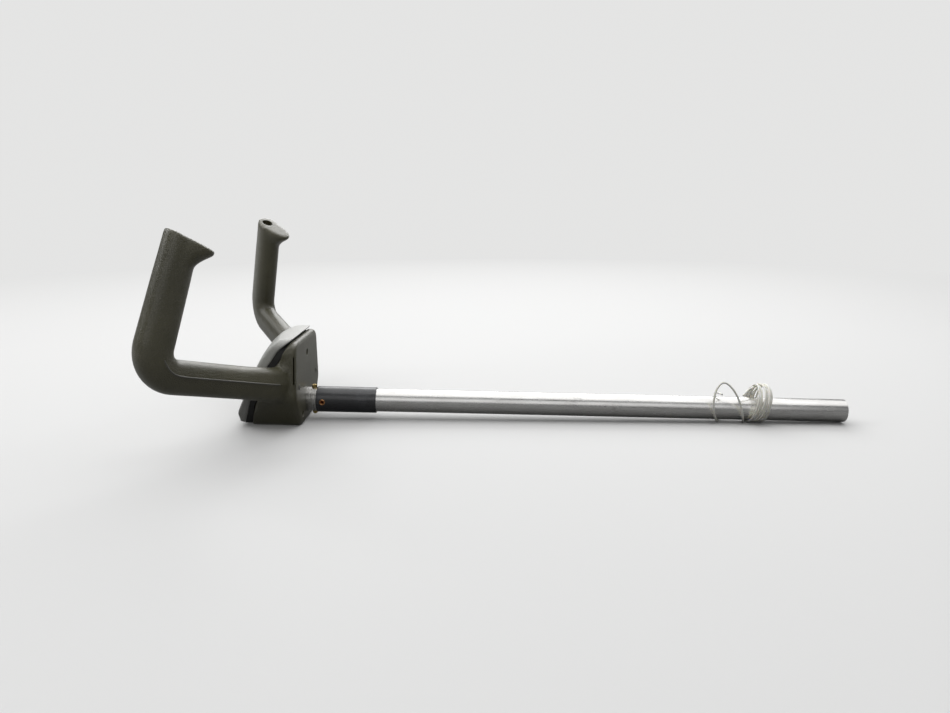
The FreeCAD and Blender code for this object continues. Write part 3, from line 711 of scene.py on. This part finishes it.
def rounded_outline(corners, radius, steps=7):
    """An outline's points with every corner rounded."""
    points = []
    for i, corner in enumerate(corners):
        here = Vector(corner)
        back = (Vector(corners[i - 1]) - here).normalized()
        ahead = (Vector(corners[(i + 1) % len(corners)]) - here).normalized()
        half = back.angle(ahead) / 2
        first = here + back * (radius / math.tan(half))
        last = here + ahead * (radius / math.tan(half))
        centre = here + (back + ahead).normalized() * (radius / math.sin(half))
        for k in range(steps + 1):
            spoke = (first - centre).lerp(last - centre, k / steps).normalized() * radius
            points.append(tuple(centre + spoke))
    return points


def hub_prisms(side_outline, front):
    """The hub's shield drawn along X from a front plane, and a side outline drawn across it."""
    shield = prism("hub_shield", rounded_outline(HUB_CORNERS, HUB_CORNER_RADIUS),
                   lambda y, z, x: at(x, y, z), front, 20.0)
    side = prism("hub_side", side_outline, lambda x, z, y: at(x, y, z), -90.0, 90.0)
    return shield, side


def hub_block():
    """The wedge-shaped hub, its rear rim rounded."""
    shield, side = hub_prisms(HUB_SIDE, -130.0)
    carve(shield, side, "INTERSECT")
    b = bmesh.new()
    b.from_mesh(shield.data)
    bmesh.ops.remove_doubles(b, verts=b.verts, dist=0.00001)
    rear = [e for e in b.edges if all(abs(v.co.x - HUB_REAR.x) < 0.00005 for v in e.verts)]
    rim = [e for e in rear if len(e.link_faces) == 2 and e.calc_face_angle(0.0) > 0.5]
    bmesh.ops.bevel(b, geom=rim, offset=REAR_ROUNDING, segments=4, profile=0.5, affect="EDGES")
    b.to_mesh(shield.data)
    b.free()
    return shield


def pad_room():
    """The room of the pad in front of the hub's face."""
    shield, room = hub_prisms(PAD_SIDE, -160.0)
    carve(room, shield, "INTERSECT")
    return room


def mark_joints(wheel):
    """Vertex groups where the arms leave the hub and where the heads swell out of the grips."""
    joints = wheel.vertex_groups.new(name="joints")
    heads = wheel.vertex_groups.new(name="heads")
    tops = [from_horn(head_point(HEAD_HEIGHT, 0.0), side) for side in (-1, 1)]
    for v in wheel.data.vertices:
        x, y, z = (v.co - HUB_REAR) / MM
        by_root = z < 60.0 and -48.0 < x < -8.0
        near = max(0.0, 1.0 - abs(abs(y) - 55.0) / 16.0) if by_root else 0.0
        joints.add([v.index], min(1.0, near * 1.6), "REPLACE")
        away = min((v.co - top).length for top in tops) / MM
        if away < 40.0:
            heads.add([v.index], min(1.0, (40.0 - away) / 14.0), "REPLACE")


def wheel_tools():
    """What is cut out of the moulding: the boss's step, the recesses, the slits and the switch's bore."""
    tools = [turned_shape("boss_step", at(-6.0, 0, 0), FROM_PILOT, [(0, BOSS_RADIUS), (16, BOSS_RADIUS)])]
    for y, z, depth, _ in PAD_SCREWS:
        tools.append(turned_shape("recess", at(2.0, y, z), TO_PILOT,
                                  [(0, RECESS_MOUTH), (2.6, RECESS_RADIUS), (2 + depth, RECESS_RADIUS)]))
    for side in (-1, 1):
        tools.append(prism("slit", SLIT, lambda x, z, y: at(x, side * y, z), 46.5, 62.0))
    low = from_horn(head_point(HEAD_HEIGHT - BORE_DEPTH, BORE_REACH), 1)
    way = from_horn(head_point(HEAD_HEIGHT, BORE_REACH), 1) - low
    tools.append(turned_shape("switch_bore", low, way, [(0, BORE_RADIUS), (45, BORE_RADIUS)], 64))
    return merged("tools", tools)


def make_wheel():
    shells = [hub_block()]
    for side in (-1, 1):
        horn = trimmed("horn", horn_rings(), side)
        carve(horn, pad_room())
        shells += [horn, trimmed("beak", beak_rings(), side)]
    wheel = merged("wheel", shells)
    regrow(wheel, MOULDING_VOXEL)
    mark_joints(wheel)
    soften(wheel, 0.6, 34, "joints")
    soften(wheel, 0.6, 26, "heads")
    soften(wheel, 0.5, 5)
    settle(wheel)
    wheel.vertex_groups.clear()
    carve(wheel, wheel_tools())
    add_piece("moulded_wheel", shaded(taken(wheel), 48), OLIVE, ("wheel_moulding",))


def ramp(value, low, high):
    """0 below low, 1 above high, rising gently between."""
    part = min(1.0, max(0.0, (value - low) / (high - low)))
    return part * part * (3.0 - 2.0 * part)


def make_pad_cover():
    """The crowned cover: its top lip laid back over the hub, its foot drawn in, its edges rubbed round."""
    b = bmesh.new()
    b.from_mesh(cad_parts["hub_pad_cover"].data)
    bmesh.ops.remove_doubles(b, verts=b.verts, dist=0.000005)
    cover = as_object("pad_cover_draft", b)
    regrow(cover, 0.0011)
    for v in cover.data.vertices:
        x, _, z = (v.co - HUB_REAR) / MM
        lip = 5.2 * ramp(z, 60.0, 75.0) * ramp(x, -42.0, -12.0)
        band = 1.6 * ramp(z, 40.0, 52.0) * ramp(-z, -70.0, -58.0) * ramp(x, -40.0, -28.0)
        foot = 6.5 * ramp(-z, 2.0, 19.0) * ramp(-x, 56.0, 72.0)
        v.co.x += (lip + foot + band) * MM
    soften(cover, 0.5, 18)
    settle(cover)
    add_piece("pad_cover", shaded(taken(cover)), PALE, ("hub_pad_cover",))


make_wheel()
make_pad_cover()


# Node trees for the parting bead along the arms and for the pad's screws
def tree_with(name, *inputs):
    """An empty geometry tree with named inputs, its group input and its output."""
    tree = bpy.data.node_groups.new(name, "GeometryNodeTree")
    tree.interface.new_socket("Geometry", in_out="INPUT", socket_type="NodeSocketGeometry")
    for label, kind in inputs:
        tree.interface.new_socket(label, in_out="INPUT", socket_type=kind)
    tree.interface.new_socket("Geometry", in_out="OUTPUT", socket_type="NodeSocketGeometry")
    return tree, tree.nodes.new("NodeGroupInput").outputs, tree.nodes.new("NodeGroupOutput")


def linked(tree, kind, sources, values=None, **settings):
    """A node with some inputs linked and others set, and its first output."""
    node = tree.nodes.new(kind)
    for label, value in settings.items():
        setattr(node, label, value)
    for label, value in (values or {}).items():
        node.inputs[label].default_value = value
    for label, source in sources.items():
        tree.links.new(source, node.inputs[label])
    return node.outputs[0]


def finish_tree(tree, given, result, out):
    """Makes a tree's result real, with its finish, and passes it out."""
    real = linked(tree, "GeometryNodeRealizeInstances", {"Geometry": result})
    clad = linked(tree, "GeometryNodeSetMaterial", {"Geometry": real, "Material": given["Finish"]})
    tree.links.new(clad, out.inputs[0])


def grown(item, tree, values):
    """The plain mesh that a tree makes of an object, which is removed."""
    modifier = item.modifiers.new("tree", "NODES")
    modifier.node_group = tree
    for socket in tree.interface.items_tree:
        if socket.item_type == "SOCKET" and socket.in_out == "INPUT" and socket.name in values:
            modifier[socket.identifier] = values[socket.name]
    mesh = plain_mesh(item)
    item.modifiers.clear()
    bpy.data.objects.remove(item)
    return mesh


def bead_tree():
    tree, given, out = tree_with("parting_bead", ("Thickness", "NodeSocketFloat"), ("Sides", "NodeSocketInt"),
                                 ("Finish", "NodeSocketMaterial"))
    edge = linked(tree, "GeometryNodeCurvePrimitiveCircle",
                  {"Resolution": given["Sides"], "Radius": given["Thickness"]})
    bead = linked(tree, "GeometryNodeCurveToMesh", {"Curve": given["Geometry"], "Profile Curve": edge},
                  {"Fill Caps": True})
    finish_tree(tree, given, linked(tree, "GeometryNodeSetShadeSmooth", {"Geometry": bead}), out)
    return tree


def bead_line(side):
    """Where the moulding's two halves met: along the front of the arm and round the elbow."""
    points = []
    for reach in (78, 90, 104, 120, 136, 152, 168, 180):
        centre, tall, thick = arm_section(reach)
        rise = in_plane(RISE + math.pi / 2) * (tall / 2 * math.cos(RIDGE_AT))
        points.append(from_horn(centre + rise + Vector((0, thick / 2 * 1.055 + 0.25, 0)), side))
    for part in (0.12, 0.3, 0.5, 0.7):
        angle, centre = elbow_section(part)
        rise = in_plane(angle + math.pi / 2) * ((16.2 + 1.3 * part) * math.cos(RIDGE_AT))
        points.append(from_horn(centre + rise + Vector((0, 13.5 - 0.7 * part, 0)), side))
    return points


def make_beads():
    tree = bead_tree()
    # The bead takes the paler finish, a painted highlight along the parting line.
    sizes = {"Thickness": 0.0008, "Sides": 10, "Finish": BEAD_PAINTED_HIGHLIGHT}
    lines = [in_scene("bead_line", nurbs_curve("bead_line", bead_line(side), 5)) for side in (-1, 1)]
    beads = merged("beads", [in_scene("bead", grown(line, tree, sizes)) for line in lines])
    add_piece("parting_beads", shaded(taken(beads)), BEAD_PAINTED_HIGHLIGHT)


def screw_tree():
    """One slotted cheese head on each point, facing along X and turned at random."""
    tree, given, out = tree_with(
        "pad_screws", ("Head Radius", "NodeSocketFloat"), ("Head Height", "NodeSocketFloat"),
        ("Slot Width", "NodeSocketFloat"), ("Finish", "NodeSocketMaterial"))
    height = given["Head Height"]
    head = linked(tree, "GeometryNodeMeshCylinder", {"Radius": given["Head Radius"], "Depth": height},
                  {"Vertices": 40})
    size = linked(tree, "ShaderNodeCombineXYZ", {"X": given["Slot Width"], "Z": height}, {"Y": 0.02})
    bar = linked(tree, "GeometryNodeMeshCube", {"Size": size})
    up = linked(tree, "ShaderNodeCombineXYZ", {"Z": height})
    half = linked(tree, "ShaderNodeVectorMath", {0: up}, {"Scale": 0.55}, operation="SCALE")
    raised = linked(tree, "GeometryNodeTransform", {"Geometry": bar, "Translation": half})
    slotted = linked(tree, "GeometryNodeMeshBoolean", {"Mesh 1": head, "Mesh 2": raised},
                     operation="DIFFERENCE", solver="EXACT")
    lifted = linked(tree, "GeometryNodeTransform", {"Geometry": slotted, "Translation": half})
    lying = linked(tree, "GeometryNodeTransform", {"Geometry": lifted}, {"Rotation": (0.0, math.pi / 2, 0.0)})
    turn = tree.nodes.new("FunctionNodeRandomValue")
    turn.data_type = "FLOAT"
    turn.inputs["Seed"].default_value = 7
    turn.inputs[3].default_value = 3.1
    about = linked(tree, "ShaderNodeCombineXYZ", {"X": turn.outputs[1]})
    placed = linked(tree, "GeometryNodeInstanceOnPoints",
                    {"Points": given["Geometry"], "Instance": lying, "Rotation": about})
    finish_tree(tree, given, placed, out)
    return tree


def make_screws():
    places = [at(0.8 - depth, y, z) for y, z, depth, _ in PAD_SCREWS]
    seats = bpy.data.meshes.new("seats")
    seats.from_pydata([tuple(place) for place in places], [], [])
    heads = grown(in_scene("seats", seats), screw_tree(),
                  {"Head Radius": 0.0035, "Head Height": 0.003, "Slot Width": 0.0009, "Finish": DARK_STEEL})
    shanks = [turned_shape("shank", place, TO_PILOT, [(-0.3, 2.0), (length - 0.6, 2.0), (length, 1.4)])
              for place, (*_, length) in zip(places, PAD_SCREWS)]
    screws = merged("pad_screws", [in_scene("heads", heads), *shanks])
    add_piece("pad_screws", taken(screws), DARK_STEEL,
              ("pad_screw_upper", "pad_screw_lower", "pad_screw_left"))


def make_rivet():
    """The tubular rivet: a barrel through sleeve and tube, its two rims rolled over."""
    seat = 13.9
    rim = [(seat, 2.4), (seat + 0.15, 3.1), (seat + 0.55, 3.3), (seat + 0.9, 3.0), (seat + 1.0, 2.5),
           (seat + 0.85, 2.0), (seat + 0.4, 1.65)]
    profile = rim + [(-along, radius) for along, radius in reversed(rim)]
    rivet = turned_shape("tubular_rivet", at(18.0, 0, 0), Vector((0, -1, 0)), profile, 56, closed=True)
    add_piece("tubular_rivet", shaded(taken(rivet), 50), COPPER, ("tube_rivet",))


make_beads()
make_screws()
make_rivet()

# Carried-over CAD nodes keep their shapes and get their finishes
# The pad's base is near-black: painted shade in the gap under the pad's edge.
dress(PAD_GAP_PAINTED_SHADE, "hub_pad_base")
dress(SLEEVE, "tube_sleeve")
dress(TUBE, "control_tube")
dress(COLLAR, "tube_adapter", "hub_socket", "collar_washer_upper", "collar_washer_lower")
dress(YELLOW, "collar_bolt", "collar_nut")
dress(DARK_STEEL, "horn_core_left", "horn_core_right",
      "pad_washer_upper", "pad_washer_lower", "pad_washer_left")
